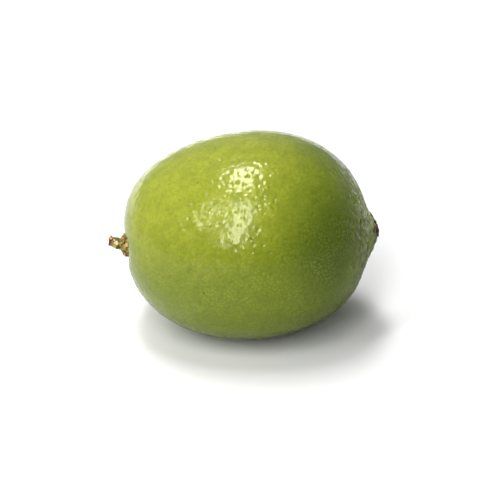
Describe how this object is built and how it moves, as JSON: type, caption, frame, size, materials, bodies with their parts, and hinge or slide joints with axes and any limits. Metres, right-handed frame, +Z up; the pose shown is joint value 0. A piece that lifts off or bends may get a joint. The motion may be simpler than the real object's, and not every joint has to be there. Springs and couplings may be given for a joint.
{
  "type": "lime",
  "caption": "Whole Persian lime lying on its side, with a dried calyx and a stub of stem at one end and a blunt nipple at the other.",
  "frame": {"origin": "on the surface the lime rests on, under the middle of its whole length", "axes": "+X along the fruit from the stem end to the nipple, +Z up, +Y across the fruit"},
  "size_m": [0.068, 0.0525, 0.0516],
  "materials": {
    "lime_skin": "waxy semi-gloss rind with oil-gland dots and shallow pits, yellow-green to mid green",
    "dried_calyx": "dry, matt and lumpy, brown with tan scales",
    "dry_stem": "dry olive bark, pale where it is peeled and dark at the broken end",
    "dried_style": "dry, dark and corky"
  },
  "bodies": {
    "root": {"fruit": "lime_skin", "calyx": "dried_calyx", "stem_stub": "dry_stem", "style_remnant": "dried_style"}
  },
  "joints": []
}
